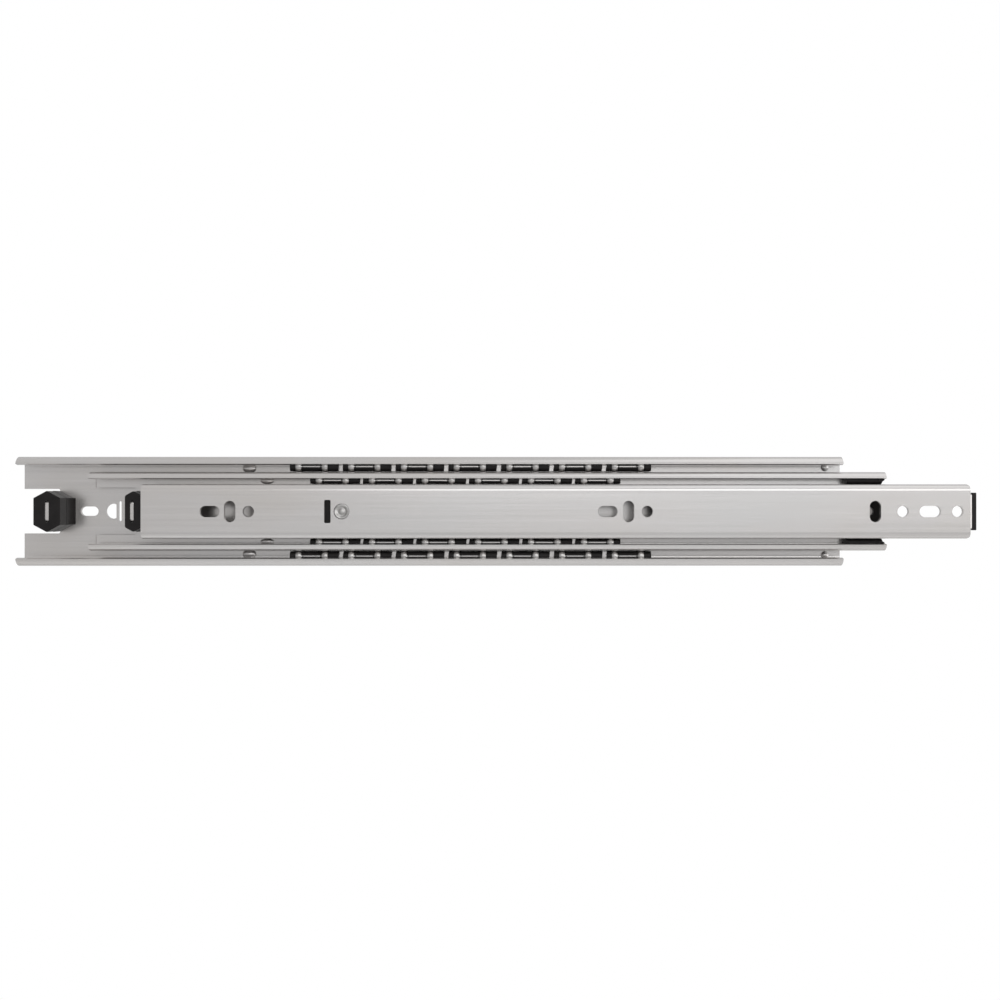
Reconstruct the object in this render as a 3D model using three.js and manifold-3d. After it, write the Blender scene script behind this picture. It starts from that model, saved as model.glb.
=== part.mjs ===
// Full-extension cabinet drawer slide: three nested roll-formed steel members that run on
// two caged sets of balls, with rubber bumpers and a plastic front guide.
//
// Frame: millimetres, +X the way the drawer opens, +Z up, +Y into the cabinet side.
// The origin is the centre of the cabinet member's mounting face, which lies in y = 0.
// A "height" below is a distance from that face towards the drawer, so y = -height.
// An "x" below is a distance from the cabinet member's rear end.
import * as THREE from "three";
import { mergeVertices } from "three/addons/utils/BufferGeometryUtils.js";
import Module from "manifold-3d";

const wasm = await Module();
wasm.setup();

// ---- driving dimensions -------------------------------------------------------------
const LENGTH = 400; // cabinet member, which is also the closed length of the slide
const WIDTH = 53; // cabinet member, lip to lip
const BALL_PITCH = 12.8;
const RUNNING_CLEARANCE = 0.15; // between a ball and its raceway
const GAP = 0.3; // between pieces that touch or nearly touch
const PAST = 1; // how far a cutting shape reaches past the sheet it cuts

const OUTER = { sheet: 2, back: 0, raceHeight: 7, corner: 2.4, rear: 0, front: LENGTH };
OUTER.webFront = LENGTH + 1.1; // the web runs a little past the lips
OUTER.ballRadius = 2.6;
OUTER.raceRadius = OUTER.ballRadius + RUNNING_CLEARANCE;
OUTER.rowZ = WIDTH / 2 - OUTER.sheet - OUTER.raceRadius;
const MIDDLE = { sheet: 1.6, back: 4, raceHeight: 10.3, corner: 1.8, rear: 36, front: 420 };
MIDDLE.ballRadius = 2.25;
MIDDLE.raceRadius = MIDDLE.ballRadius + RUNNING_CLEARANCE;
MIDDLE.rowZ = OUTER.rowZ - OUTER.raceRadius - MIDDLE.sheet - MIDDLE.raceRadius;
const INNER = { sheet: 2, front: 458.1, rear: 63.1, face: 19.1, corner: 2.2, flangeBack: 7.3 };
INNER.halfWidth = 13;
INNER.chamfer = 0.8; // on the front corners
INNER.web = INNER.face - INNER.sheet; // height of the back of the drawer member's web

const LIP_ANGLE = THREE.MathUtils.degToRad(75); // how far a lip wraps round its balls
const BUMPER_TOP = 16.6; // bumpers end just under the drawer member's web
const TAB_TOP = 15.8;

const OUTER_CAGE = { rear: 131.8, front: 307.2, back: 2.6, firstBall: 135.9, balls: 14 };
const INNER_CAGE = { rear: 142.2, front: 292, back: 6.1, firstBall: 146.4, balls: 12 };
OUTER_CAGE.barRadius = 2.3;
INNER_CAGE.barRadius = 1.7;
const CAGE_SHEET = 0.8;
const POCKET_CLEARANCE = 0.2; // between a ball and its pocket

// Hole centres in the drawer member's web, measured from its rear end.
const SCREW_RADIUS = 2.7;
const TALL_SLOT_HEIGHT = 10.2;
const LEVEL_SLOTS = [
  { x: 32.8, length: 9.5 },
  { x: 222.1, length: 9.5 },
  { x: 375.8, length: 10.3 },
];
const TALL_SLOTS = [42.3, 232, 349.6];
const ROUND_HOLES = [51.2, 240.9, 362.8, 388.9];
const DETENT_WINDOW = { x: 88.7, length: 3.05, height: 11 };
const RIVET = { x: 95.4, headRadius: 3.6, shankRadius: 2, tailRadius: 3.2, tailThickness: 0.9 };
const ACCESS_HOLE = { x: 84.5, radius: 7 }; // in the intermediate member, for a screwdriver
const MIDDLE_SLOT = 290; // upright slot in the intermediate member
// Holes in the cabinet member's web: a screw slot, a D-shaped aperture cut flat at its
// front, an upright slit in front of it, and round screw holes.
const CABINET_SLOT = { x: 31.9, length: 8.8, width: 4.6 };
const APERTURE = { x: 43.4, radius: 3.7, flat: 45.1 };
const SLIT = { rear: 45.9, front: 47.6, halfHeight: 4.9 };
const CABINET_HOLES = [224, 363];
// Pressed dimples that stop the cages: how far each lies inside its ball row, and its size.
const REAR_DIMPLE = { x: 110.5, inset: 0.6, base: 1.8, length: 6.8, rise: 1.8, width: 5 };
const FRONT_DIMPLE = { x: 393.7, inset: 0.1, base: 1.8, length: 4, rise: 1.8, width: 4 };
const MIDDLE_DIMPLE = { x: 120.1, inset: 0, base: 5.4, length: 6.8, rise: 1.2, width: 3.6 };
// Each bumper sits on a tab bent out of the end of its member's rear notch.
const REAR_BUMPER = { rear: 10.9, front: 23.7, halfHeight: 9.9, shoulder: 6.45, tab: 16.4 };
const MIDDLE_BUMPER = { rear: 54.4, front: 62.5, halfHeight: 9.85, shoulder: 7.6, tab: 57.1 };
const TAB_HALF_WIDTH = 5;
// The rear bumper's foot reaches forward, low enough to pass under the other bumper.
const BUMPER_HEEL = { reach: 1.4, top: 5.2 };
const OUTER_NOTCH = { front: REAR_BUMPER.tab + 1, halfHeight: 10.95 };
const MIDDLE_NOTCH = { front: MIDDLE_BUMPER.tab, halfHeight: 11.6, fillet: 2.4 };
const GUIDE_REAR = 401.4;
// The tab bent back from the front of the drawer member's web, and the rubber pad on it.
const FRONT_TAB = { front: INNER.front + 1.3, tip: 13, halfWidth: 8 };
const STOP_PAD = { thickness: 2.2, foot: 1.9, back: 10.8, face: 17, halfWidth: 9 };
const PAD = { back: 12.6, halfHeight: 7.5, rear: DETENT_WINDOW.x - 4, front: RIVET.x + 4.5 };

// ---- materials ----------------------------------------------------------------------
const zinc = new THREE.MeshStandardMaterial({ color: 0xc4c6c8, roughness: 0.34, metalness: 1 });
const bearingSteel = new THREE.MeshStandardMaterial({
  color: 0xd9dbdd,
  roughness: 0.15,
  metalness: 1,
});
const rubber = new THREE.MeshStandardMaterial({ color: 0x2a2829, roughness: 0.75, metalness: 0 });
const plastic = new THREE.MeshStandardMaterial({ color: 0x1f1d1e, roughness: 0.5, metalness: 0 });

// ---- helpers ------------------------------------------------------------------------
const X = new THREE.Vector3(1, 0, 0);
const Y = new THREE.Vector3(0, 1, 0);
const Z = new THREE.Vector3(0, 0, 1);
const TOWARDS_DRAWER = Y.clone().negate();

function solidOf(geometry) {
  const bare = geometry.clone();
  bare.deleteAttribute("normal");
  bare.deleteAttribute("uv");
  const merged = mergeVertices(bare, 1e-4);
  return new wasm.Manifold(
    new wasm.Mesh({
      numProp: 3,
      vertProperties: merged.attributes.position.array,
      triVerts: new Uint32Array(merged.index.array),
    }),
  );
}

function geometryOf(solid) {
  const mesh = solid.getMesh();
  const geometry = new THREE.BufferGeometry();
  geometry.setAttribute("position", new THREE.BufferAttribute(mesh.vertProperties, 3));
  geometry.setIndex(new THREE.BufferAttribute(mesh.triVerts, 1));
  geometry.computeVertexNormals();
  return geometry;
}

function extrude(shape, depth, basis, start, curveSegments = 3) {
  const geometry = new THREE.ExtrudeGeometry(shape, { depth, bevelEnabled: false, curveSegments });
  geometry.applyMatrix4(new THREE.Matrix4().makeBasis(...basis).setPosition(start));
  return solidOf(geometry);
}

// A section drawn as (height, z), drawn out along the slide from rear to front.
function alongSlide(shape, rear, front) {
  const basis = [TOWARDS_DRAWER, Z, X.clone().negate()];
  return extrude(shape, front - rear, basis, X.clone().multiplyScalar(front));
}

// An outline drawn as (x, z), drawn out from one height to another.
function towardsDrawer(shape, low, high, curveSegments = 6) {
  const start = Y.clone().multiplyScalar(-low);
  return extrude(shape, high - low, [X, Z, TOWARDS_DRAWER], start, curveSegments);
}

// An outline drawn as (x, height), drawn out to the same distance above and below z = 0.
function acrossSlide(shape, halfWidth) {
  const start = Z.clone().multiplyScalar(halfWidth);
  return extrude(shape, 2 * halfWidth, [X, TOWARDS_DRAWER, Z.clone().negate()], start);
}

function polygon(points) {
  return new THREE.Shape(points.map(([a, b]) => new THREE.Vector2(a, b)));
}

function rectangle(lowA, highA, lowB, highB) {
  return polygon([
    [lowA, lowB],
    [highA, lowB],
    [highA, highB],
    [lowA, highB],
  ]);
}

function circle(a, b, radius) {
  return new THREE.Shape().absarc(a, b, radius, 0, 2 * Math.PI);
}

// A slot with round ends, its long side along the first axis unless it is tall.
function slot(a, b, length, width, tall = false) {
  const radius = width / 2;
  const reach = length / 2 - radius;
  const shape = new THREE.Shape();
  if (tall) {
    shape.absarc(a, b + reach, radius, 0, Math.PI);
    shape.absarc(a, b - reach, radius, Math.PI, 2 * Math.PI);
  } else {
    shape.absarc(a + reach, b, radius, -Math.PI / 2, Math.PI / 2);
    shape.absarc(a - reach, b, radius, Math.PI / 2, (3 * Math.PI) / 2);
  }
  return shape.closePath();
}

const both = [1, -1]; // the upper and the lower side of the slide

// ---- steel members ------------------------------------------------------------------
// A C-section whose flanges end in lips that wrap round a row of balls.
function lippedSection({ sheet, back, raceHeight, raceRadius, corner, rowZ }) {
  const right = Math.PI / 2;
  const tip = right - LIP_ANGLE;
  const outside = raceRadius + sheet;
  const cornerHeight = back + sheet + corner;
  const cornerZ = rowZ + raceRadius - corner;
  const shape = new THREE.Shape();
  shape.absarc(raceHeight, rowZ, outside, tip, right);
  shape.absarc(cornerHeight, cornerZ, corner + sheet, right, Math.PI);
  shape.absarc(cornerHeight, -cornerZ, corner + sheet, Math.PI, 3 * right);
  shape.absarc(raceHeight, -rowZ, outside, -right, -tip);
  shape.absarc(raceHeight, -rowZ, raceRadius, -tip, -right, true);
  shape.absarc(cornerHeight, -cornerZ, corner, 3 * right, Math.PI, true);
  shape.absarc(cornerHeight, cornerZ, corner, Math.PI, right, true);
  shape.absarc(raceHeight, rowZ, raceRadius, right, tip, true);
  return shape.closePath();
}

// The drawer member opens towards the cabinet, with a groove for the balls in each flange.
function innerSection() {
  const { face, web, sheet, corner, flangeBack, halfWidth } = INNER;
  const right = Math.PI / 2;
  const inside = halfWidth - sheet;
  const outsideRadius = corner + sheet / 2;
  const insideRadius = corner - sheet / 2;
  const { rowZ, raceHeight, raceRadius } = MIDDLE;
  const groove = Math.acos((rowZ - halfWidth) / raceRadius);
  const shape = new THREE.Shape();
  shape.moveTo(flangeBack, inside);
  shape.lineTo(web - insideRadius, inside);
  shape.absarc(web - insideRadius, inside - insideRadius, insideRadius, right, 0, true);
  shape.absarc(web - insideRadius, -inside + insideRadius, insideRadius, 0, -right, true);
  shape.lineTo(flangeBack, -inside);
  shape.lineTo(flangeBack, -halfWidth);
  shape.absarc(raceHeight, -rowZ, raceRadius, right + groove, right - groove, true);
  const cornerHeight = face - outsideRadius;
  shape.absarc(cornerHeight, -halfWidth + outsideRadius, outsideRadius, -right, 0);
  shape.absarc(cornerHeight, halfWidth - outsideRadius, outsideRadius, 0, right);
  shape.absarc(raceHeight, rowZ, raceRadius, groove - right, -groove - right, true);
  shape.lineTo(flangeBack, halfWidth);
  return shape.closePath();
}

// A dimple pressed out of a web beside a ball row.
function dimple({ x, inset, base, length, rise, width }, rowZ) {
  const geometry = new THREE.SphereGeometry(1, 10, 6);
  geometry.scale(length / 2, rise, width / 2);
  geometry.translate(x, -base, Math.sign(rowZ) * (Math.abs(rowZ) - inset));
  return solidOf(geometry);
}

// A tab bent out of a web, which carries a bumper. It starts inside the web.
function bumperTab(x, { sheet, back }) {
  const outline = rectangle(x, x + sheet, -TAB_HALF_WIDTH, TAB_HALF_WIDTH);
  return towardsDrawer(outline, back + sheet / 4, TAB_TOP);
}

function outerMember() {
  const { back, sheet, corner, rear, front, webFront, rowZ } = OUTER;
  const through = (shape) => towardsDrawer(shape, back - PAST, back + sheet + PAST);
  const flat = Math.acos((APERTURE.flat - APERTURE.x) / APERTURE.radius);
  const aperture = new THREE.Shape();
  aperture.absarc(APERTURE.x, 0, APERTURE.radius, flat, 2 * Math.PI - flat);
  const notchHalf = OUTER_NOTCH.halfHeight;
  const cuts = [
    rectangle(rear - PAST, OUTER_NOTCH.front, -notchHalf, notchHalf),
    slot(CABINET_SLOT.x, 0, CABINET_SLOT.length, CABINET_SLOT.width),
    aperture.closePath(),
    rectangle(SLIT.rear, SLIT.front, -SLIT.halfHeight, SLIT.halfHeight),
    ...CABINET_HOLES.map((x) => circle(x, 0, SCREW_RADIUS)),
  ];
  let body = alongSlide(lippedSection(OUTER), rear, webFront);
  for (const cut of cuts) {
    body = body.subtract(through(cut));
  }
  const lipEnds = rectangle(front, webFront + PAST, -WIDTH / 2 - PAST, WIDTH / 2 + PAST);
  body = body.subtract(towardsDrawer(lipEnds, back + sheet + corner, INNER.face));
  body = body.add(bumperTab(REAR_BUMPER.tab, OUTER));
  for (const side of both) {
    body = body.add(dimple(REAR_DIMPLE, side * rowZ));
    body = body.add(dimple(FRONT_DIMPLE, side * rowZ));
  }
  return body;
}

function intermediateMember() {
  const { sheet, back, rear, front, rowZ } = MIDDLE;
  const { front: notchFront, halfHeight, fillet } = MIDDLE_NOTCH;
  const through = (shape) => towardsDrawer(shape, back - PAST, back + sheet + PAST);
  const notch = new THREE.Shape();
  notch.moveTo(rear - PAST, halfHeight);
  notch.lineTo(rear - PAST, -halfHeight);
  notch.absarc(notchFront - fillet, -halfHeight + fillet, fillet, -Math.PI / 2, 0);
  notch.absarc(notchFront - fillet, halfHeight - fillet, fillet, 0, Math.PI / 2);
  const cuts = [
    notch.closePath(),
    circle(ACCESS_HOLE.x, 0, ACCESS_HOLE.radius),
    slot(MIDDLE_SLOT, 0, TALL_SLOT_HEIGHT, 2 * SCREW_RADIUS, true),
  ];
  let body = alongSlide(lippedSection(MIDDLE), rear, front);
  for (const cut of cuts) {
    body = body.subtract(through(cut));
  }
  body = body.add(bumperTab(MIDDLE_BUMPER.tab, MIDDLE));
  for (const side of both) {
    body = body.add(dimple(MIDDLE_DIMPLE, side * rowZ));
  }
  return body;
}

function innerMember() {
  const { face, web, sheet, rear, front, halfWidth, flangeBack, chamfer } = INNER;
  const through = (shape) => towardsDrawer(shape, web - PAST, face + PAST);
  const windowRear = rear + DETENT_WINDOW.x - DETENT_WINDOW.length / 2;
  const windowFront = windowRear + DETENT_WINDOW.length;
  const windowHalf = DETENT_WINDOW.height / 2;
  const width = 2 * SCREW_RADIUS;
  const cuts = [
    ...LEVEL_SLOTS.map(({ x, length }) => slot(rear + x, 0, length, width)),
    ...TALL_SLOTS.map((x) => slot(rear + x, 0, TALL_SLOT_HEIGHT, width, true)),
    ...ROUND_HOLES.map((x) => circle(rear + x, 0, SCREW_RADIUS)),
    rectangle(windowRear, windowFront, -windowHalf, windowHalf),
    circle(rear + RIVET.x, 0, RIVET.headRadius + GAP),
  ];
  let body = alongSlide(innerSection(), rear, front);
  for (const cut of cuts) {
    body = body.subtract(through(cut));
  }
  for (const side of both) {
    const corner = polygon([
      [front + PAST, side * (halfWidth + PAST)],
      [front - chamfer - PAST, side * (halfWidth + PAST)],
      [front + PAST, side * (halfWidth - chamfer - PAST)],
    ]);
    body = body.subtract(towardsDrawer(corner, flangeBack - PAST, face + PAST));
  }
  const { front: tabFront, tip, halfWidth: tabHalf } = FRONT_TAB;
  const tabRear = tabFront - sheet;
  const ledge = rectangle(front - sheet, tabFront, -tabHalf, tabHalf);
  body = body.add(towardsDrawer(ledge, web, face));
  return body.add(towardsDrawer(rectangle(tabRear, tabFront, -tabHalf, tabHalf), tip, web + PAST));
}

// ---- cages and balls ----------------------------------------------------------------
// A channel-shaped strip with a bar along each edge, which carries a row of balls.
function cageSolid({ rear, front, back, barRadius }, rowZ, raceHeight) {
  let body = alongSlide(rectangle(back, back + CAGE_SHEET, -rowZ, rowZ), rear, front);
  const barEnd = raceHeight + barRadius;
  const barLength = barEnd - back;
  for (const side of both) {
    const bar = slot(back + barLength / 2, side * rowZ, barLength, 2 * barRadius);
    body = body.add(alongSlide(bar, rear, front));
  }
  return body;
}

function ballPlaces(cage) {
  return Array.from({ length: cage.balls }, (_, i) => cage.firstBall + i * BALL_PITCH);
}

function ballCage(cage, { rowZ, raceHeight, ballRadius }) {
  let body = cageSolid(cage, rowZ, raceHeight);
  const pocketRadius = ballRadius + POCKET_CLEARANCE;
  const pocketDepth = 2 * (cage.barRadius + PAST);
  for (const x of ballPlaces(cage)) {
    for (const side of both) {
      const pocket = new THREE.CylinderGeometry(pocketRadius, pocketRadius, pocketDepth, 10);
      pocket.rotateX(Math.PI / 2);
      pocket.translate(x, -raceHeight, side * rowZ);
      body = body.subtract(solidOf(pocket));
    }
  }
  return body;
}

// ---- bumpers, guide, detent ---------------------------------------------------------
// A six-sided rubber block with a slot that fits over a tab.
function bumper({ rear, front, halfHeight, shoulder, tab }, member) {
  const middle = (rear + front) / 2;
  const base = member.back + member.sheet + GAP;
  const holeHalf = TAB_HALF_WIDTH + GAP;
  const outline = polygon([
    [rear, -shoulder],
    [middle, -halfHeight],
    [front, -shoulder],
    [front, shoulder],
    [middle, halfHeight],
    [rear, shoulder],
  ]);
  const hole = rectangle(tab - GAP, tab + member.sheet + GAP, -holeHalf, holeHalf);
  const block = towardsDrawer(outline, base, BUMPER_TOP);
  return block.subtract(towardsDrawer(hole, base - PAST, BUMPER_TOP + PAST));
}

function bumperHeel({ tab, front, shoulder }, member) {
  const start = (tab + member.sheet + front) / 2;
  const outline = rectangle(start, front + BUMPER_HEEL.reach, -shoulder, shoulder);
  return towardsDrawer(outline, member.back + member.sheet + GAP, BUMPER_HEEL.top);
}

// A plastic clip in the front end of the intermediate member's raceways.
function frontGuide() {
  const span = { rear: GUIDE_REAR, front: MIDDLE.front - GAP };
  return cageSolid({ ...INNER_CAGE, ...span }, MIDDLE.rowZ, MIDDLE.raceHeight);
}

// The rubber pad on the front of the tab, with a foot hooked under the tab's tip.
function stopPad() {
  const { thickness, foot, back, face, halfWidth } = STOP_PAD;
  const rear = FRONT_TAB.front + GAP;
  const footRear = FRONT_TAB.front - INNER.sheet / 2;
  const outline = polygon([
    [footRear, back],
    [rear + thickness, back],
    [rear + thickness, face],
    [rear, face],
    [rear, back + foot],
    [footRear, back + foot],
  ]);
  return acrossSlide(outline, halfWidth);
}

// The friction pad behind the drawer member's web, seen through the window.
function detentPad() {
  const { back, halfHeight, rear, front } = PAD;
  const outline = rectangle(INNER.rear + rear, INNER.rear + front, -halfHeight, halfHeight);
  const hole = circle(INNER.rear + RIVET.x, 0, RIVET.shankRadius + GAP);
  const plate = towardsDrawer(outline, back, INNER.web - GAP);
  return plate.subtract(towardsDrawer(hole, back - PAST, INNER.web));
}

// The rivet, turned about its own axis: flush head, shank, and closed tail behind the pad.
function detentRivet() {
  const { headRadius, shankRadius, tailRadius, tailThickness } = RIVET;
  const head = INNER.face - 0.1;
  const tailTop = PAD.back - GAP;
  const points = [
    [0, tailTop - tailThickness],
    [tailRadius - 0.2, tailTop - tailThickness],
    [tailRadius, tailTop],
    [shankRadius, tailTop],
    [shankRadius, INNER.web - 0.1],
    [headRadius, INNER.web + 0.2],
    [headRadius, head - 0.5],
    [headRadius - 1, head],
    [0, head],
  ];
  const profile = points.map(([radius, height]) => new THREE.Vector2(radius, height));
  const geometry = new THREE.LatheGeometry(profile, 16);
  geometry.rotateX(Math.PI); // a lathe turns about +Y, and heights run along -Y
  geometry.translate(INNER.rear + RIVET.x, 0, 0);
  return solidOf(geometry);
}

// ---- assembly -----------------------------------------------------------------------
const slide = new THREE.Group();
slide.position.x = -LENGTH / 2;

function place(name, solid, material) {
  const mesh = new THREE.Mesh(geometryOf(solid), material);
  mesh.name = name;
  slide.add(mesh);
}

place("outer_member", outerMember(), zinc);
place("intermediate_member", intermediateMember(), zinc);
place("inner_member", innerMember(), zinc);
place("outer_cage", ballCage(OUTER_CAGE, OUTER), plastic);
place("inner_cage", ballCage(INNER_CAGE, MIDDLE), plastic);
place("rear_bumper", bumper(REAR_BUMPER, OUTER).add(bumperHeel(REAR_BUMPER, OUTER)), rubber);
place("middle_bumper", bumper(MIDDLE_BUMPER, MIDDLE), rubber);
place("front_guide", frontGuide(), plastic);
place("front_stop_pad", stopPad(), rubber);
place("detent_pad", detentPad(), plastic);
place("detent_rivet", detentRivet(), bearingSteel);

// The cabinet side's two rows of balls; all of them share one geometry.
const ball = new THREE.SphereGeometry(OUTER.ballRadius, 10, 6);
for (const [row, side] of [
  ["top", 1],
  ["bottom", -1],
]) {
  ballPlaces(OUTER_CAGE).forEach((x, i) => {
    const mesh = new THREE.Mesh(ball, bearingSteel);
    mesh.name = `outer_ball_${row}_${String(i + 1).padStart(2, "0")}`;
    mesh.position.set(x, -OUTER.raceHeight, side * OUTER.rowZ);
    slide.add(mesh);
  });
}

export default slide;
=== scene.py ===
import math

import bmesh
import bpy
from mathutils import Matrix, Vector


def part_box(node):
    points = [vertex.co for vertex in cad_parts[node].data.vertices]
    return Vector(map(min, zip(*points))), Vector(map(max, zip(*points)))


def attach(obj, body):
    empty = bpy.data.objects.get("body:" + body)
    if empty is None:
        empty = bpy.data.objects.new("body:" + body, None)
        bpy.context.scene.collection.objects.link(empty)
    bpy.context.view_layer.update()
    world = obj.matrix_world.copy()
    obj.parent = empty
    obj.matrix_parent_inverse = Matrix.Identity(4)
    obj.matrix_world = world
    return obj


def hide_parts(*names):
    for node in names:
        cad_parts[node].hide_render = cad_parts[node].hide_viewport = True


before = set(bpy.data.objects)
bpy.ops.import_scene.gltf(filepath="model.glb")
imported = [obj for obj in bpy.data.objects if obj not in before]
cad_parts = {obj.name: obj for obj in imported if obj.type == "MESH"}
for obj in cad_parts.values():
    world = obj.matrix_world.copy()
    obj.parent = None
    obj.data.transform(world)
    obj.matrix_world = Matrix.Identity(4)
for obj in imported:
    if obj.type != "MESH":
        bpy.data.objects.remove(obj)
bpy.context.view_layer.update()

# The looks of a three-member ball-bearing drawer slide.
# Row frame: +X the way the drawer opens, +Z up, mounting face in y = 0. Lengths here are in
# millimetres until a mesh is made. A "height" is a distance from the mounting face towards
# the drawer, so y = -height.
MM = 0.001
RIGHT = math.pi / 2


# ---- places, read from the frame ----------------------------------------------------
class Span:
    """A CAD node's reach in millimetres: rear and front along X, low and high in height, top."""

    def __init__(self, node):
        low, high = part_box(node)
        self.rear, self.front = low.x / MM, high.x / MM
        self.low, self.high = -high.y / MM, -low.y / MM
        self.top = high.z / MM
        self.length = self.front - self.rear
        self.middle = (self.rear + self.front) / 2


OUTER = Span("outer_member")
MIDDLE = Span("intermediate_member")
INNER = Span("inner_member")
REAR_BUMPER = Span("rear_bumper")
MIDDLE_BUMPER = Span("middle_bumper")
GUIDE = Span("front_guide")
STOP_PAD = Span("front_stop_pad")
PAD = Span("detent_pad")
RIVET = Span("detent_rivet")
OUTER_CAGE = Span("outer_cage")
INNER_CAGE = Span("inner_cage")
FIRST_BALL = Span("outer_ball_top_01")
LAST_BALL = Span("outer_ball_top_14")

# ---- sheet and raceway sizes, as in the CAD source ----------------------------------
RUNNING_CLEARANCE = 0.15
INNER_SHEET = 2.0


class Race:
    """A raceway in a member: its sheet, its balls, where its row of balls runs, and half the
    width of the slits in its cage."""

    def __init__(self, member, sheet, corner, ball_radius, height, slit):
        self.sheet, self.corner, self.ball_radius = sheet, corner, ball_radius
        self.height = height
        self.slit = slit
        self.radius = ball_radius + RUNNING_CLEARANCE
        self.z = member.top - sheet - self.radius


OUTER_RACE = Race(
    OUTER,
    sheet=2.0,
    corner=2.4,
    ball_radius=(FIRST_BALL.front - FIRST_BALL.rear) / 2,
    height=(FIRST_BALL.low + FIRST_BALL.high) / 2,
    slit=1.05,
)
MIDDLE_RACE = Race(MIDDLE, sheet=1.6, corner=1.8, ball_radius=2.25, height=10.3, slit=0.7)
LIP_ANGLE = math.radians(75)
# Edges that turn more than this are rounded, and what is still sharper is shaded as an edge.
ROUNDED_ABOVE = math.radians(38)
SHARP_ABOVE = math.radians(46)
ARC_STEPS = 14

OUTER_BALLS = 14
INNER_BALLS = 12
PITCH = (LAST_BALL.middle - FIRST_BALL.middle) / (OUTER_BALLS - 1)
INNER_FIRST_BALL = INNER_CAGE.rear + 4.2

SCREW_RADIUS = 2.7
TALL_SLOT_LENGTH = 10.2
# Hole centres in the drawer member's web, from its rear end, and the level slots' lengths.
LEVEL_SLOTS = ((32.8, 9.5), (222.1, 9.5), (375.8, 10.3))
TALL_SLOTS = (42.3, 232.0, 349.6)
ROUND_HOLES = (51.2, 240.9, 362.8, 388.9)
WINDOW = {"x": 88.7, "length": 3.05, "height": 11.0}
ACCESS_HOLE = {"x": 84.5, "radius": 7.0}
MIDDLE_SLOT_X = 290.0
# Pressed dimples that stop the cages: how far each lies inside its ball row, the height of
# its middle, and its length, thickness and width.
REAR_DIMPLE = {"x": 110.5, "inset": 0.6, "height": 1.8, "size": (6.8, 3.6, 5)}
FRONT_DIMPLE = {"x": 393.7, "inset": 0.1, "height": 1.8, "size": (4, 3.6, 4)}
MIDDLE_DIMPLE = {"x": 120.1, "inset": 0, "height": 5.4, "size": (6.8, 2.4, 3.6)}
# The cabinet member's openings, from its rear end: a screw slot, a D-shaped aperture whose
# flat side is towards the front, an upright slit, and round screw holes.
CABINET_SLOT = {"x": 31.9, "length": 8.8, "width": 4.6}
APERTURE = {"x": 43.4, "radius": 3.7, "flat": 1.7}
SLIT = {"rear": 45.9, "front": 47.6, "half_height": 4.9, "corner": 0.5}
CABINET_HOLES = (224, 363)
OUTER_NOTCH = {"half_height": 10.95, "corner": 0.8}
MIDDLE_NOTCH = {"half_height": 11.6, "corner": 2.4}
# Where each bumper's tab starts, from the bumper's rear, and the tabs' size.
REAR_TAB_SHIFT = 5.5
MIDDLE_TAB_SHIFT = 2.7
TAB_HALF_WIDTH = 5
TAB_TOP = 16.2
FRONT_TAB = {"tip": 13, "half_width": 8}
# The rear bumper's heel: how far it reaches forward, and its height.
HEEL = {"reach": 1.4, "top": 5.2}
GUIDE_HOLE = {"x": 414.1, "radius": 2.3}
# How far the cages' slits lie in front of the middle between two balls, and how they lean.
SLIT_SHIFT = 1.4
SLIT_LEAN = 0.3
POCKET_CLEARANCE = 0.12
LIP_SETBACK = 1.1
SHEARED_EDGE = 0.22
BOTH = (1, -1)


# ---- materials ----------------------------------------------------------------------
def new_material(name):
    material = bpy.data.materials.new(name)
    material.use_nodes = True
    tree = material.node_tree
    shader = tree.nodes["Principled BSDF"]
    return material, tree, shader


def node(tree, kind, **values):
    made = tree.nodes.new(kind)
    for key, value in values.items():
        if key in made.inputs:
            made.inputs[key].default_value = value
        else:
            setattr(made, key, value)
    return made


def stretched_noise(tree, scale, stretch, detail=4.0, roughness=0.55):
    """Noise in object space, drawn out along one or more axes."""
    place = node(tree, "ShaderNodeTexCoord")
    mapping = node(tree, "ShaderNodeMapping")
    mapping.inputs["Scale"].default_value = stretch
    noise = node(tree, "ShaderNodeTexNoise", Scale=scale, Detail=detail, Roughness=roughness)
    tree.links.new(place.outputs["Object"], mapping.inputs["Vector"])
    tree.links.new(mapping.outputs["Vector"], noise.inputs["Vector"])
    return noise.outputs["Fac"]


def ramp(tree, source, stops):
    made = node(tree, "ShaderNodeValToRGB")
    elements = made.color_ramp.elements
    while len(elements) < len(stops):
        elements.new(0.5)
    for element, (place, colour) in zip(elements, stops):
        element.position = place
        element.color = (*colour, 1.0)
    tree.links.new(source, made.inputs["Fac"])
    return made.outputs["Color"]


def span_map(tree, source, low, high):
    made = node(tree, "ShaderNodeMapRange")
    made.inputs["To Min"].default_value = low
    made.inputs["To Max"].default_value = high
    tree.links.new(source, made.inputs["Value"])
    return made.outputs["Result"]


def bump(tree, shader, source, distance, strength=1.0):
    made = node(tree, "ShaderNodeBump", Distance=distance, Strength=strength)
    tree.links.new(source, made.inputs["Height"])
    tree.links.new(made.outputs["Normal"], shader.inputs["Normal"])


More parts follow.
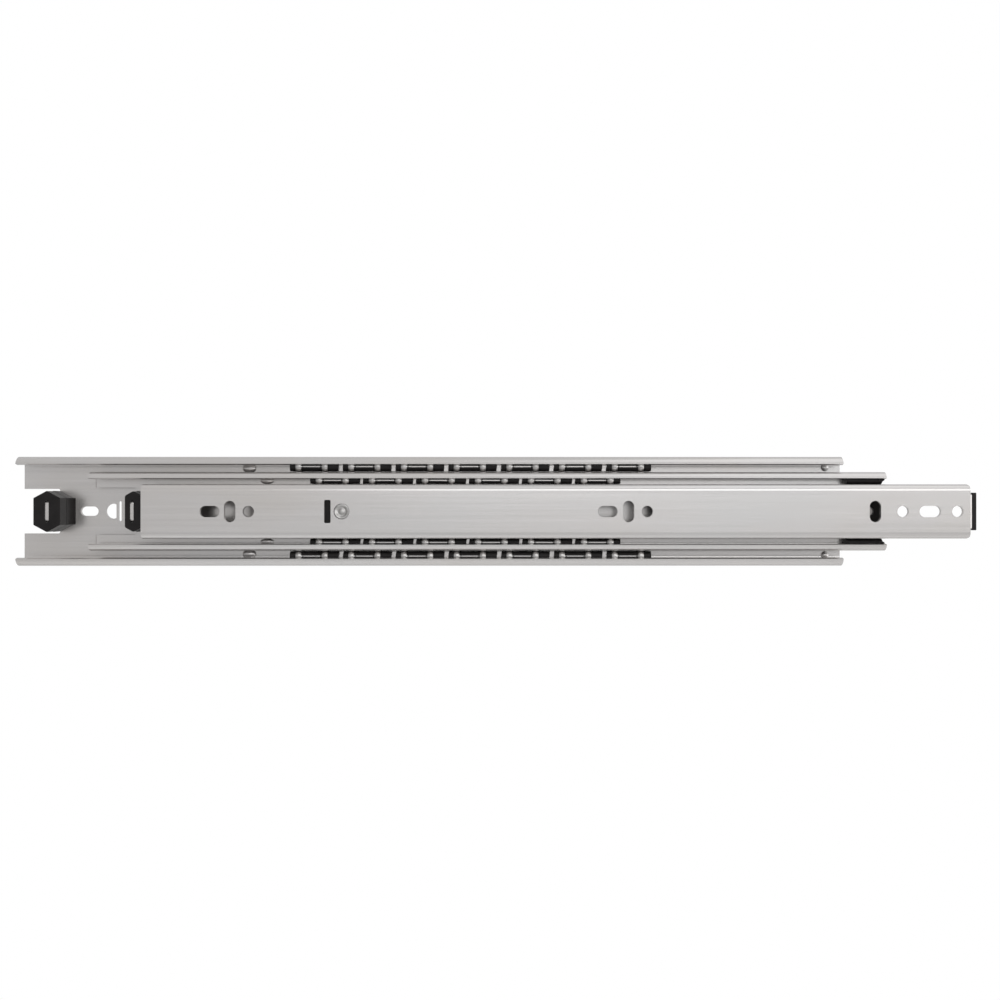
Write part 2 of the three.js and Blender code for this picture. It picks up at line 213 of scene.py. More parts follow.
def zinc_steel():
    """Bright zinc plate on cold-rolled strip: fine streaks along the length, faint warm and
    bluish clouds of passivation, and slightly uneven gloss."""
    material, tree, shader = new_material("zinc_steel")
    clouds = stretched_noise(tree, 9.0, (1.0, 2.0, 3.0), detail=3.0)
    tint = ramp(
        tree,
        clouds,
        [(0.32, (0.72, 0.69, 0.665)), (0.5, (0.73, 0.71, 0.70)), (0.68, (0.715, 0.705, 0.70))],
    )
    streaks = stretched_noise(tree, 160.0, (0.04, 4.0, 4.0), detail=5.0, roughness=0.7)
    shade = ramp(tree, streaks, [(0.3, (0.93, 0.93, 0.93)), (0.7, (1.0, 1.0, 1.0))])
    mix = node(tree, "ShaderNodeMix", data_type="RGBA", blend_type="MULTIPLY")
    mix.inputs[0].default_value = 1.0
    tree.links.new(tint, mix.inputs[6])
    tree.links.new(shade, mix.inputs[7])
    tree.links.new(mix.outputs[2], shader.inputs["Base Color"])
    gloss = stretched_noise(tree, 60.0, (0.15, 2.0, 2.0), detail=4.0)
    tree.links.new(span_map(tree, gloss, 0.20, 0.30), shader.inputs["Roughness"])
    shader.inputs["Metallic"].default_value = 0.8
    bump(tree, shader, streaks, 0.00004, 0.35)
    return material


def bearing_steel():
    """Polished balls with faint running marks."""
    material, tree, shader = new_material("bearing_steel")
    marks = stretched_noise(tree, 400.0, (0.4, 3.0, 3.0), detail=3.0)
    tint = ramp(tree, marks, [(0.35, (0.46, 0.45, 0.44)), (0.65, (0.62, 0.61, 0.60))])
    tree.links.new(tint, shader.inputs["Base Color"])
    tree.links.new(span_map(tree, marks, 0.24, 0.36), shader.inputs["Roughness"])
    shader.inputs["Metallic"].default_value = 1.0
    return material


def moulded(name, dark, light, rough, grain, bloom=0.0):
    """Moulded plastic or rubber: mottled colour, a fine moulding grain and uneven gloss, with
    a dusty bloom at a glance."""
    material, tree, shader = new_material(name)
    mottle = stretched_noise(tree, 220.0, (1.0, 1.0, 1.0), detail=4.0)
    tree.links.new(ramp(tree, mottle, [(0.3, dark), (0.72, light)]), shader.inputs["Base Color"])
    tree.links.new(span_map(tree, mottle, *rough), shader.inputs["Roughness"])
    skin = stretched_noise(tree, 2600.0, (1.0, 1.0, 1.0), detail=2.0)
    bump(tree, shader, skin, grain, 0.5)
    shader.inputs["Specular IOR Level"].default_value = 0.25
    shader.inputs["Sheen Weight"].default_value = bloom
    shader.inputs["Sheen Roughness"].default_value = 0.35
    return material


ZINC = zinc_steel()
BALL_STEEL = bearing_steel()
PLASTIC = moulded(
    "cage_plastic", (0.006, 0.005, 0.005), (0.013, 0.011, 0.011), (0.38, 0.52), 0.00002
)
RUBBER = moulded(
    "bumper_rubber", (0.006, 0.005, 0.005), (0.013, 0.011, 0.011), (0.45, 0.65), 0.00003, 0.4
)


# ---- mesh helpers -------------------------------------------------------------------
def arc(a, b, radius, start, end, steps=ARC_STEPS):
    turns = [start + (end - start) * i / steps for i in range(steps + 1)]
    return [(a + radius * math.cos(t), b + radius * math.sin(t)) for t in turns]


def rectangle(low_a, high_a, low_b, high_b):
    return [(low_a, low_b), (high_a, low_b), (high_a, high_b), (low_a, high_b)]


def rounded(low_a, high_a, low_b, high_b, radius, steps=6):
    """A rectangle with round corners."""
    return (
        arc(high_a - radius, high_b - radius, radius, 0, RIGHT, steps)
        + arc(low_a + radius, high_b - radius, radius, RIGHT, 2 * RIGHT, steps)
        + arc(low_a + radius, low_b + radius, radius, 2 * RIGHT, 3 * RIGHT, steps)
        + arc(high_a - radius, low_b + radius, radius, 3 * RIGHT, 4 * RIGHT, steps)
    )


def circle(a, b, radius, steps=48):
    return arc(a, b, radius, 0, 2 * math.pi, steps)[:-1]


def slot(a, b, length, width, tall=False, steps=24):
    """A slot with round ends, its long side along the first axis unless it is tall."""
    reach, radius = (length - width) / 2, width / 2
    if tall:
        top = arc(a, b + reach, radius, 0, math.pi, steps)
        return top + arc(a, b - reach, radius, math.pi, 2 * math.pi, steps)
    end = arc(a + reach, b, radius, -RIGHT, RIGHT, steps)
    return end + arc(a - reach, b, radius, RIGHT, 3 * RIGHT, steps)


def prism(name, outline, start, end, place):
    """A closed solid: an outline drawn out from start to end. place turns (a, b, along) into
    (x, height, z)."""
    mesh = bmesh.new()

    def ring(along):
        verts = []
        for a, b in outline:
            x, height, z = place(a, b, along)
            verts.append(mesh.verts.new(Vector((x, -height, z)) * MM))
        return verts

    first, last = ring(start), ring(end)
    count = len(outline)
    for i in range(count):
        j = (i + 1) % count
        mesh.faces.new((first[i], first[j], last[j], last[i]))
    mesh.faces.new(list(reversed(first)))
    mesh.faces.new(last)
    return link(name, mesh)


def link(name, mesh):
    bmesh.ops.recalc_face_normals(mesh, faces=mesh.faces[:])
    data = bpy.data.meshes.new(name)
    mesh.to_mesh(data)
    mesh.free()
    made = bpy.data.objects.new(name, data)
    bpy.context.scene.collection.objects.link(made)
    return made


def along_slide(name, outline, rear, front):
    """A section given as (height, z), drawn out along the slide."""
    return prism(name, outline, rear, front, lambda a, b, along: (along, a, b))


def towards_drawer(name, outline, low, high):
    """An outline given as (x, z), drawn out from one height to another."""
    return prism(name, outline, low, high, lambda a, b, along: (a, along, b))


def across_slide(name, outline, half):
    """An outline given as (x, height), drawn out the same distance above and below z = 0."""
    return prism(name, outline, -half, half, lambda a, b, along: (a, b, along))


def lathe(name, profile, x, steps=64):
    """A solid of (radius, height) points turned about the axis through x and z = 0. The
    profile starts and ends on the axis."""
    mesh = bmesh.new()
    rings = []
    for radius, height in profile:
        if radius == 0:
            rings.append([mesh.verts.new(Vector((x, -height, 0)) * MM)])
            continue
        ring = []
        for a, b in circle(x, 0, radius, steps):
            ring.append(mesh.verts.new(Vector((a, -height, b)) * MM))
        rings.append(ring)
    for low, high in zip(rings, rings[1:]):
        for i in range(steps):
            j = (i + 1) % steps
            if len(low) == 1:
                mesh.faces.new((low[0], high[j], high[i]))
            elif len(high) == 1:
                mesh.faces.new((low[i], low[j], high[0]))
            else:
                mesh.faces.new((low[i], low[j], high[j], high[i]))
    return link(name, mesh)


def ellipsoid(name, x, height, z, size, steps=40):
    """A sphere stretched to size = (length, height, width), used to press dimples."""
    mesh = bmesh.new()
    bmesh.ops.create_uvsphere(mesh, u_segments=steps, v_segments=steps // 2, radius=0.5)
    for vert in mesh.verts:
        a, b, c = vert.co
        vert.co = Vector((x + a * size[0], -height + b * size[1], z + c * size[2])) * MM
    return link(name, mesh)


def combine(target, others, operation):
    """Cuts or joins the other solids into target and removes them."""
    for other in others:
        modifier = target.modifiers.new("combine", "BOOLEAN")
        modifier.operation = operation
        modifier.solver = "EXACT"
        modifier.object = other
    apply_modifiers(target)
    for other in others:
        bpy.data.meshes.remove(other.data)
    return target


def apply_modifiers(target):
    graph = bpy.context.evaluated_depsgraph_get()
    made = bpy.data.meshes.new_from_object(target.evaluated_get(graph))
    target.modifiers.clear()
    old = target.data
    target.data = made
    bpy.data.meshes.remove(old)


def soften(target, width, segments=2):
    """Rounds the sharp edges, as shearing, moulding and tumbling leave them."""
    modifier = target.modifiers.new("edges", "BEVEL")
    modifier.width = width * MM
    modifier.segments = segments
    modifier.limit_method = "ANGLE"
    modifier.angle_limit = ROUNDED_ABOVE
    modifier.harden_normals = False
    apply_modifiers(target)


def complete(target, material, body, slot_name, *nodes):
    """Shades the piece, gives it its material, and hands it to the frame."""
    for face in target.data.polygons:
        face.use_smooth = True
    target.data.set_sharp_from_angle(angle=SHARP_ABOVE)
    normals = target.modifiers.new("flat_faces", "WEIGHTED_NORMAL")
    normals.mode = "FACE_AREA"
    normals.keep_sharp = True
    target.data.materials.clear()
    target.data.materials.append(material)
    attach(target, body)
    if nodes:
        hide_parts(*nodes)
    return target


# ---- steel members ------------------------------------------------------------------
def lipped_section(race, back):
    """A C-section whose flanges end in lips that wrap round a row of balls."""
    tip = RIGHT - LIP_ANGLE
    sheet, corner = race.sheet, race.corner
    bend = back + sheet + corner
    bend_z = race.z + race.radius - corner
    upper_outside = arc(race.height, race.z, race.radius + sheet, tip, RIGHT)
    upper_outside += arc(bend, bend_z, corner + sheet, RIGHT, math.pi)
    upper_inside = arc(race.height, race.z, race.radius, tip, RIGHT)
    upper_inside += arc(bend, bend_z, corner, RIGHT, math.pi)
    lower_outside = [(a, -b) for a, b in reversed(upper_outside)]
    lower_inside = [(a, -b) for a, b in upper_inside]
    return upper_outside + lower_outside + lower_inside + list(reversed(upper_inside))


def inner_section():
    """The drawer member's section, open towards the cabinet, with a groove in each flange."""
    face, half, back = INNER.high, INNER.top, INNER.low
    web = face - INNER_SHEET
    inside = half - INNER_SHEET
    outer_bend, inner_bend = 3.2, 1.2
    race = MIDDLE_RACE
    groove = math.acos((race.z - half) / race.radius)
    upper = [(back, half)]
    upper += arc(race.height, race.z, race.radius, -RIGHT - groove, groove - RIGHT, 10)
    upper += arc(face - outer_bend, half - outer_bend, outer_bend, RIGHT, 0)
    lower = [(a, -b) for a, b in reversed(upper)]
    upper_inside = arc(web - inner_bend, inside - inner_bend, inner_bend, 0, RIGHT, 8)
    upper_inside.append((back, inside))
    lower_inside = [(a, -b) for a, b in reversed(upper_inside)]
    return upper + lower + lower_inside + upper_inside


def bent_tab(rear, sheet, base):
    """A bumper tab turned up out of a web, with round top corners."""
    corner = 1.5
    bend, side = TAB_TOP - corner, TAB_HALF_WIDTH - corner
    outline = [(base, -TAB_HALF_WIDTH), (base, TAB_HALF_WIDTH)]
    outline += arc(bend, side, corner, RIGHT, 0, 8)
    outline += arc(bend, -side, corner, 0, -RIGHT, 8)
    return along_slide("tab", outline, rear, rear + sheet)


def dimple(shape, race, side):
    z = side * (race.z - shape["inset"])
    return ellipsoid("dimple", OUTER.rear + shape["x"], shape["height"], z, shape["size"])


def make_outer_member():
    rear, sheet = OUTER.rear, OUTER_RACE.sheet
    section = lipped_section(OUTER_RACE, OUTER.low)
    body = along_slide("cabinet_member_steel", section, rear, OUTER.front)
    lip_end = OUTER.front - LIP_SETBACK

    def through(outline):
        return towards_drawer("cutter", outline, OUTER.low - 1, OUTER.low + sheet + 1)

    tab = REAR_BUMPER.rear + REAR_TAB_SHIFT
    flat = math.acos(APERTURE["flat"] / APERTURE["radius"])
    aperture = arc(rear + APERTURE["x"], 0, APERTURE["radius"], flat, 2 * math.pi - flat, 24)
    notch, slit = OUTER_NOTCH["half_height"], SLIT["half_height"]
    slit_rear, slit_front = rear + SLIT["rear"], rear + SLIT["front"]
    cuts = [
        through(rounded(rear - 5, tab + 1, -notch, notch, OUTER_NOTCH["corner"])),
        through(slot(rear + CABINET_SLOT["x"], 0, CABINET_SLOT["length"], CABINET_SLOT["width"])),
        through(aperture),
        through(rounded(slit_rear, slit_front, -slit, slit, SLIT["corner"])),
    ]
    cuts += [through(circle(rear + x, 0, SCREW_RADIUS)) for x in CABINET_HOLES]
    for side in BOTH:
        trim = rectangle(lip_end, OUTER.front + 1, side * 19 - 8, side * 19 + 8)
        cuts.append(towards_drawer("cutter", trim, OUTER.low + sheet + OUTER_RACE.corner, 13))
    combine(body, cuts, "DIFFERENCE")
    joins = [bent_tab(tab, sheet, OUTER.low + 0.5)]
    for side in BOTH:
        joins.append(dimple(REAR_DIMPLE, OUTER_RACE, side))
        joins.append(dimple(FRONT_DIMPLE, OUTER_RACE, side))
    combine(body, joins, "UNION")
    soften(body, SHEARED_EDGE)
    complete(body, ZINC, "cabinet_member", "zinc_steel", "outer_member")


def make_intermediate_member():
    rear, sheet, back = MIDDLE.rear, MIDDLE_RACE.sheet, MIDDLE.low
    section = lipped_section(MIDDLE_RACE, back)
    body = along_slide("intermediate_member_steel", section, rear, MIDDLE.front)

    def through(outline):
        return towards_drawer("cutter", outline, back - 0.5, back + sheet + 0.5)

    tab = MIDDLE_BUMPER.rear + MIDDLE_TAB_SHIFT
    notch = MIDDLE_NOTCH["half_height"]
    front_side = back + sheet + 0.1
    bevelled_rear = [(rear - 0.1, front_side), (rear + 0.9, front_side), (rear - 0.1, back + 0.7)]
    cuts = [
        through(rounded(rear - 9, tab, -notch, notch, MIDDLE_NOTCH["corner"], 12)),
        through(circle(OUTER.rear + ACCESS_HOLE["x"], 0, ACCESS_HOLE["radius"])),
        through(slot(OUTER.rear + MIDDLE_SLOT_X, 0, TALL_SLOT_LENGTH, 2 * SCREW_RADIUS, True)),
        across_slide("cutter", bevelled_rear, MIDDLE_RACE.z + 1.9),
    ]
    combine(body, cuts, "DIFFERENCE")
    joins = [bent_tab(tab, sheet, back + 0.4)]
    joins += [dimple(MIDDLE_DIMPLE, MIDDLE_RACE, side) for side in BOTH]
    combine(body, joins, "UNION")
    soften(body, SHEARED_EDGE)
    complete(body, ZINC, "intermediate", "zinc_steel", "intermediate_member")


def front_tab(flange_front, front, web, face):
    """The middle of the web, carried on past the flanges and bent back towards the cabinet."""
    bend, inside = 1.8, 0.4
    outline = [(flange_front - 1, web), (flange_front - 1, face)]
    outline += arc(front - bend, face - bend, bend, RIGHT, 0, 8)
    outline += [(front, FRONT_TAB["tip"]), (front - INNER_SHEET, FRONT_TAB["tip"])]
    outline += arc(front - INNER_SHEET - inside, web - inside, inside, 0, RIGHT, 4)
    return across_slide("tab", outline, FRONT_TAB["half_width"])


def make_inner_member():
    rear, front, face = INNER.rear, INNER.front, INNER.high
    web = face - INNER_SHEET
    flange_front = front - 1.3
    body = along_slide("drawer_member_steel", inner_section(), rear, flange_front)

    def through(outline):
        return towards_drawer("cutter", outline, web - 0.5, face + 0.5)

    width = 2 * SCREW_RADIUS
    cuts = [through(slot(rear + x, 0, length, width)) for x, length in LEVEL_SLOTS]
    cuts += [through(slot(rear + x, 0, TALL_SLOT_LENGTH, width, True)) for x in TALL_SLOTS]
    cuts += [through(circle(rear + x, 0, SCREW_RADIUS)) for x in ROUND_HOLES]
    half = WINDOW["length"] / 2
    centre = rear + WINDOW["x"]
    tall = WINDOW["height"] / 2
    cuts.append(through(rounded(centre - half, centre + half, -tall, tall, 0.6)))
    cuts.append(through(circle(RIVET.middle, 0, RIVET.length / 2 + 0.1)))
    for side in BOTH:
        corner = [
            (flange_front + 3, side * (INNER.top + 1)),
            (flange_front - 1.8, side * (INNER.top + 1)),
            (flange_front + 3, side * (INNER.top - 3.8)),
        ]
        cuts.append(towards_drawer("cutter", corner, INNER.low - 1, face + 1))
    combine(body, cuts, "DIFFERENCE")
    combine(body, [front_tab(flange_front, front, web, face)], "UNION")
    soften(body, SHEARED_EDGE)
    complete(body, ZINC, "drawer_member", "zinc_steel", "inner_member")


# ---- cages and balls ----------------------------------------------------------------
def slit_places(places):
    """Between every two blocks of plastic: after each second ball."""
    return [x + PITCH / 2 + SLIT_SHIFT for x in places[1:-1:2]]


def leaning(x, z, half_width, half_height):
    """An upright strip whose top leans towards the front."""
    rear, front = x - half_width, x + half_width
    return [
        (rear - SLIT_LEAN, z - half_height),
        (front - SLIT_LEAN, z - half_height),
        (front + SLIT_LEAN, z + half_height),
        (rear + SLIT_LEAN, z + half_height),
    ]


def pockets(race, places, side):
    size = (2 * (race.ball_radius + POCKET_CLEARANCE),) * 3
    return [ellipsoid("cutter", x, race.height, side * race.z, size, 24) for x in places]


def cage_strip(name, cage, race, places):
    """The pressed strip that joins a cage's two rows. Its edges turn up through the plastic,
    and widen into a plate in every slit between two blocks."""
    back, edge = cage.low, cage.high - 0.9
    sheet, bend = 0.8, 1.2
    half = sheet / 2
    upper = [(edge, race.z - half), (edge, race.z + half)]
    upper += arc(back + bend, race.z + half - bend, bend, RIGHT, math.pi, 8)
    lower = [(a, -b) for a, b in reversed(upper)]
    inner = [(back + sheet, -(race.z - half)), (back + sheet, race.z - half)]
    strip = along_slide(name, upper + lower + inner, cage.rear + 0.3, cage.front - 0.3)
    cuts = [cut for side in BOTH for cut in pockets(race, places, side)]
    combine(strip, cuts, "DIFFERENCE")
    tall = cage.top - race.z - 0.25
    plates = []
    for side in BOTH:
        for x in slit_places(places):
            plate = leaning(x, side * (race.z - 0.1), race.slit + 0.2, tall)
            plates.append(towards_drawer("plate", plate, race.height - 0.4, race.height + 0.5))
    return combine(strip, plates, "UNION")


def cage_row(name, cage, race, places, side):
    """The plastic moulded on one edge: a block for every two balls, parted by slits, with a
    groove between the two balls where the strip's edge shows."""
    radius = cage.top - race.z
    z, back = side * race.z, cage.low + 1.0
    outline = slot((back + cage.high) / 2, z, cage.high - back, 2 * radius, steps=10)
    body = along_slide(name, outline, cage.rear, cage.front)
    cuts = pockets(race, places, side)
    for x in slit_places(places):
        slit = leaning(x, z, race.slit, radius + 0.5)
        cuts.append(towards_drawer("cutter", slit, back - 1, cage.high + 1))
    for x in places[:-1:2]:
        groove = rectangle(x + 1.2, x + PITCH - 1.2, z - 0.3, z + 0.3)
        cuts.append(towards_drawer("cutter", groove, race.height + 0.4, cage.high + 1))
    return combine(body, cuts, "DIFFERENCE")


def make_cage(label, cage, race, places, cad_node):
    strip = cage_strip(label + "_strip", cage, race, places)
    complete(strip, ZINC, label, "zinc_steel", cad_node)
    for word, side in (("top", 1), ("bottom", -1)):
        row = cage_row(f"{label}_plastic_{word}", cage, race, places, side)
        complete(row, PLASTIC, label, "cage_plastic", cad_node)


def make_balls(label, body, places, race, in_cad):
    for word, side in (("top", 1), ("bottom", -1)):
        for i, x in enumerate(places):
            name = f"{label}_ball_{word}_{i + 1:02d}"
            size = (2 * race.ball_radius,) * 3
            ball = ellipsoid(name + "_polished", x, race.height, side * race.z, size, 32)
            complete(ball, BALL_STEEL, body, "bearing_steel", *([name] if in_cad else []))


# ---- rubber and plastic -------------------------------------------------------------
def hexagon(rear, front, top, shoulder):
    """A bumper's outline, upright sides front and rear and a ridge above and below."""
    upper = [(front, shoulder), ((rear + front) / 2, top), (rear, shoulder)]
    return upper + [(a, -b) for a, b in reversed(upper)]


def make_bumper(cad_node, bumper, body, tab_middle, shoulder, edge, heel=0):
    """A six-sided rubber block in two tiers, the foot a little wider than the head, pressed
    over its tab. The mouth of its slot is narrower than the tab. A heel is a low slope that
    reaches further forward."""
    rear, front, top = bumper.rear, bumper.front - heel, bumper.top
    waist = (bumper.low + bumper.high) / 2
    outline = hexagon(rear, front, top, shoulder)
    block = towards_drawer(cad_node + "_rubber", outline, waist - 0.5, bumper.high)
    soften(block, edge, 3)
    wider = hexagon(rear - 0.12, front + 0.12, top + 0.12, shoulder)
    foot = towards_drawer("foot", wider, bumper.low, waist)
    soften(foot, 0.3, 2)
    tiers = [foot]
    if heel:
        slope = [(front - 2, bumper.low), (bumper.front, bumper.low)]
        slope += [(bumper.front, bumper.low + 0.6), (front, HEEL["top"]), (front - 2, HEEL["top"])]
        tiers.append(across_slide("heel", slope, shoulder))
    combine(block, tiers, "UNION")
    mouth = slot(tab_middle, 0, 10.6, 1.9, True, 12)
    seat = rectangle(tab_middle - 1.05, tab_middle + 1.05, -5.15, 5.15)
    cuts = [
        towards_drawer("cutter", mouth, bumper.high - 1, bumper.high + 1),
        towards_drawer("cutter", seat, bumper.low - 1, bumper.high - 0.25),
    ]
    combine(block, cuts, "DIFFERENCE")
    complete(block, RUBBER, body, "bumper_rubber", cad_node)


def make_guide():
    """The plastic clip in the intermediate member's front end: a thin back with a round
    opening, and an arm in each raceway that tapers to a point at its rear."""
    z, low, high = MIDDLE_RACE.z, GUIDE.low, GUIDE.high
    clip = towards_drawer(
        "front_guide_clip", rectangle(GUIDE.rear + 1.5, GUIDE.front, -z, z), low, low + 0.8
    )
    arms = []
    radius = GUIDE.top - z
    for side in BOTH:
        outline = slot((low + high) / 2, side * z, high - low, 2 * radius, steps=10)
        arm = along_slide("arm", outline, GUIDE.rear, GUIDE.front)
        edge, foot = side * (z + radius), side * (z - radius)
        point = [
            (GUIDE.rear - 1, edge + side),
            (GUIDE.rear + 2.6, edge + side),
            (GUIDE.rear - 1, side * (z - 0.4)),
        ]
        step = [
            (GUIDE.front + 1, foot - side),
            (GUIDE.front - 1.1, foot - side),
            (GUIDE.front - 1.1, foot + side * 1.0),
            (GUIDE.front + 1, foot + side * 2.6),
        ]
        trims = [towards_drawer("cutter", o, low - 1, high + 1) for o in (point, step)]
        relief = rectangle(GUIDE.rear + 5, GUIDE.front - 3, side * z - 0.45, side * z + 0.45)
        trims.append(towards_drawer("cutter", relief, high - 0.5, high + 1))
        arms.append(combine(arm, trims, "DIFFERENCE"))
    combine(clip, arms, "UNION")
    hole = circle(OUTER.rear + GUIDE_HOLE["x"], 0, GUIDE_HOLE["radius"])
    opening = towards_drawer("cutter", hole, low - 1, low + 2)
    combine(clip, [opening], "DIFFERENCE")
    soften(clip, 0.15)
    complete(clip, PLASTIC, "intermediate", "cage_plastic", "front_guide")


def make_stop_pad():
    """The rubber pad on the drawer member's front tab, its foot hooked under the tab's tip."""
    inner = STOP_PAD.front - 2.2
    ledge = STOP_PAD.low + 1.9
    outline = [
        (STOP_PAD.rear, STOP_PAD.low),
        (STOP_PAD.front, STOP_PAD.low),
        (STOP_PAD.front, STOP_PAD.high),
        (inner, STOP_PAD.high),
        (inner, ledge),
        (STOP_PAD.rear, ledge),
    ]
    pad = across_slide("front_stop_rubber", outline, STOP_PAD.top)
    soften(pad, 0.35, 3)
    complete(pad, RUBBER, "drawer_member", "bumper_rubber", "front_stop_pad")


def make_pad():
    plate = towards_drawer(
        "detent_pad_moulding", rounded(PAD.rear, PAD.front, -PAD.top, PAD.top, 2), PAD.low, PAD.high
    )
    hole = towards_drawer("cutter", circle(RIVET.middle, 0, 2.3), PAD.low - 1, PAD.high + 1)
    combine(plate, [hole], "DIFFERENCE")
    soften(plate, 0.3)
    complete(plate, PLASTIC, "drawer_member", "cage_plastic", "detent_pad")


def make_rivet():
    """A rivet whose flush head is dished round a small domed centre."""
    head, web = RIVET.high, INNER.high - INNER_SHEET
    radius = RIVET.length / 2
    tail = PAD.low - 0.3
    profile = [(0, RIVET.low), (2.4, RIVET.low), (3.0, RIVET.low + 0.3), (3.2, tail), (2.0, tail)]
    profile += [(2.0, web - 0.1), (radius - 0.3, web + 0.1), (radius, web + 0.5)]
    profile += [(radius, head - 0.3), (radius - 0.12, head - 0.05), (radius - 0.35, head)]
    profile += [(2.9, head - 0.05), (2.45, head - 0.5), (2.1, head - 0.95), (1.7, head - 1.05)]
    profile += [(1.35, head - 0.85), (1.0, head - 0.5), (0.5, head - 0.3), (0, head - 0.25)]
    rivet = lathe("detent_rivet_steel", profile, RIVET.middle)
    complete(rivet, BALL_STEEL, "drawer_member", "bearing_steel", "detent_rivet")


# ---- stage --------------------------------------------------------------------------
def panel(name, centre, size, facing, strength):
    """A soft box: an area light at centre that faces a point."""
    data = bpy.data.lights.new(name, "AREA")
    data.shape = "RECTANGLE"
    data.size, data.size_y = size
    data.energy = strength
    lamp = bpy.data.objects.new(name, data)
    lamp.location = centre
    lamp.rotation_mode = "QUATERNION"
    lamp.rotation_quaternion = (Vector(facing) - Vector(centre)).to_track_quat("-Z", "Y")
    bpy.context.scene.collection.objects.link(lamp)


# How bright the room is from straight below (0) over the horizon (0.5) to straight above (1).
RISE = ((0, 0.62), (0.2, 0.55), (0.36, 0.46), (0.47, 0.54), (0.52, 0.57), (0.75, 0.52), (1, 0.6))


def make_world():
    """A white room: evenly white to look at, and lighting the slide most from above and a
    little more from the right than from the left."""
    world = bpy.data.worlds.new("studio")
    bpy.context.scene.world = world
    world.use_nodes = True
    tree = world.node_tree
    seen = tree.nodes["Background"]
    seen.inputs["Color"].default_value = (1, 1, 1, 1)
    seen.inputs["Strength"].default_value = 1.0
    way = node(tree, "ShaderNodeTexCoord")
    parts = node(tree, "ShaderNodeSeparateXYZ")
    tree.links.new(way.outputs["Generated"], parts.inputs["Vector"])

    def spread(axis, low, high):
        made = node(tree, "ShaderNodeMapRange")
        made.inputs["From Min"].default_value = -1
        made.inputs["To Min"].default_value = low
        made.inputs["To Max"].default_value = high
        tree.links.new(parts.outputs[axis], made.inputs["Value"])
        return made.outputs["Result"]

    rise = ramp(tree, spread("Z", 0, 1), [(place, (value,) * 3) for place, value in RISE])
    lit = node(tree, "ShaderNodeBackground")
    tree.links.new(rise, lit.inputs["Color"])
    tree.links.new(spread("X", 0.98, 1.24), lit.inputs["Strength"])
    mix = node(tree, "ShaderNodeMixShader")
    path = node(tree, "ShaderNodeLightPath")
    tree.links.new(path.outputs["Is Camera Ray"], mix.inputs["Fac"])
    tree.links.new(lit.outputs["Background"], mix.inputs[1])
    tree.links.new(seen.outputs["Background"], mix.inputs[2])
    tree.links.new(mix.outputs["Shader"], tree.nodes["World Output"].inputs["Surface"])
    bpy.context.scene.view_settings.view_transform = "Standard"


# The floor's depth below the slide and, in metres from its middle, where it starts to fade
# out and where it is gone.
FLOOR = {"depth": 1.2, "radius": 1.4, "full": 0.4, "gone": 1.35}


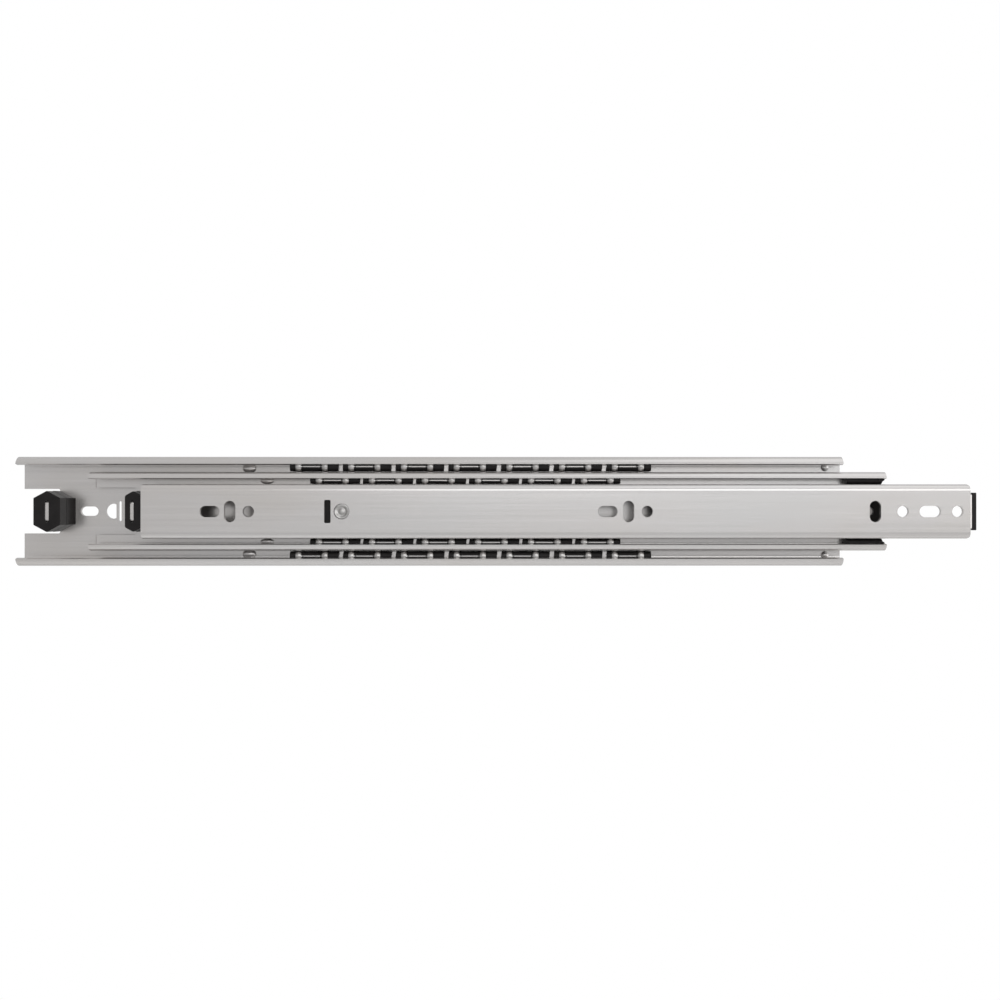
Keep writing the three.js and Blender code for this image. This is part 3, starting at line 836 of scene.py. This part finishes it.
def make_stage():
    mesh = bmesh.new()
    bmesh.ops.create_circle(mesh, cap_ends=True, segments=96, radius=FLOOR["radius"])
    floor = link("floor", mesh)
    floor.location.z = -FLOOR["depth"]
    material, tree, shader = new_material("pale_floor")
    shader.inputs["Base Color"].default_value = (0.86, 0.86, 0.86, 1)
    shader.inputs["Roughness"].default_value = 0.9
    where = node(tree, "ShaderNodeTexCoord")
    length = node(tree, "ShaderNodeVectorMath")
    length.operation = "LENGTH"
    tree.links.new(where.outputs["Object"], length.inputs[0])
    fade = node(tree, "ShaderNodeMapRange")
    fade.interpolation_type = "SMOOTHERSTEP"
    fade.inputs["From Min"].default_value = FLOOR["full"]
    fade.inputs["From Max"].default_value = FLOOR["gone"]
    fade.inputs["To Min"].default_value = 1
    fade.inputs["To Max"].default_value = 0
    tree.links.new(length.outputs["Value"], fade.inputs["Value"])
    tree.links.new(fade.outputs["Result"], shader.inputs["Alpha"])
    floor.data.materials.append(material)
    make_world()
    centre = (0.03, -0.01, 0)
    panel("front_soft_box", (0.5, -1.7, 0.62), (1.8, 1.0), centre, 6.4)
    panel("top_soft_box", (0.6, -0.3, 1.3), (1.4, 0.9), centre, 1.6)
    panel("left_rim_box", (-1.5, 0.45, 0.2), (0.6, 0.9), centre, 9)
    panel("right_soft_box", (1.7, -0.5, 0.15), (1.6, 1.7), centre, 8)


CAMERA = {"place": (39.5, -506.7, 4.8), "pitch": 90.08, "yaw": -0.18, "lens": 36.9, "shift": -0.015}


def make_camera():
    """The viewing angle: straight at the drawer's side, a little to the right of centre."""
    data = bpy.data.cameras.new("camera")
    data.sensor_width = 36
    data.lens = CAMERA["lens"]
    data.shift_x = CAMERA["shift"]
    camera = bpy.data.objects.new("camera", data)
    camera.location = Vector(CAMERA["place"]) * MM
    camera.rotation_euler = (math.radians(CAMERA["pitch"]), 0, math.radians(CAMERA["yaw"]))
    data.dof.use_dof = False
    bpy.context.scene.collection.objects.link(camera)
    bpy.context.scene.camera = camera


make_outer_member()
make_intermediate_member()
make_inner_member()
OUTER_PLACES = [FIRST_BALL.middle + i * PITCH for i in range(OUTER_BALLS)]
INNER_PLACES = [INNER_FIRST_BALL + i * PITCH for i in range(INNER_BALLS)]
make_cage("cabinet_side_cage", OUTER_CAGE, OUTER_RACE, OUTER_PLACES, "outer_cage")
make_cage("drawer_side_cage", INNER_CAGE, MIDDLE_RACE, INNER_PLACES, "inner_cage")
make_balls("outer", "cabinet_side_cage", OUTER_PLACES, OUTER_RACE, True)
make_balls("inner", "drawer_side_cage", INNER_PLACES, MIDDLE_RACE, False)
REAR_TAB_MIDDLE = REAR_BUMPER.rear + REAR_TAB_SHIFT + OUTER_RACE.sheet / 2
MIDDLE_TAB_MIDDLE = MIDDLE_BUMPER.rear + MIDDLE_TAB_SHIFT + MIDDLE_RACE.sheet / 2
make_bumper(
    "rear_bumper", REAR_BUMPER, "cabinet_member", REAR_TAB_MIDDLE,
    shoulder=6.45, edge=0.4, heel=HEEL["reach"],
)
make_bumper(
    "middle_bumper", MIDDLE_BUMPER, "intermediate", MIDDLE_TAB_MIDDLE,
    shoulder=7.6, edge=0.8,
)
make_guide()
make_stop_pad()
make_pad()
make_rivet()
make_stage()
make_camera()
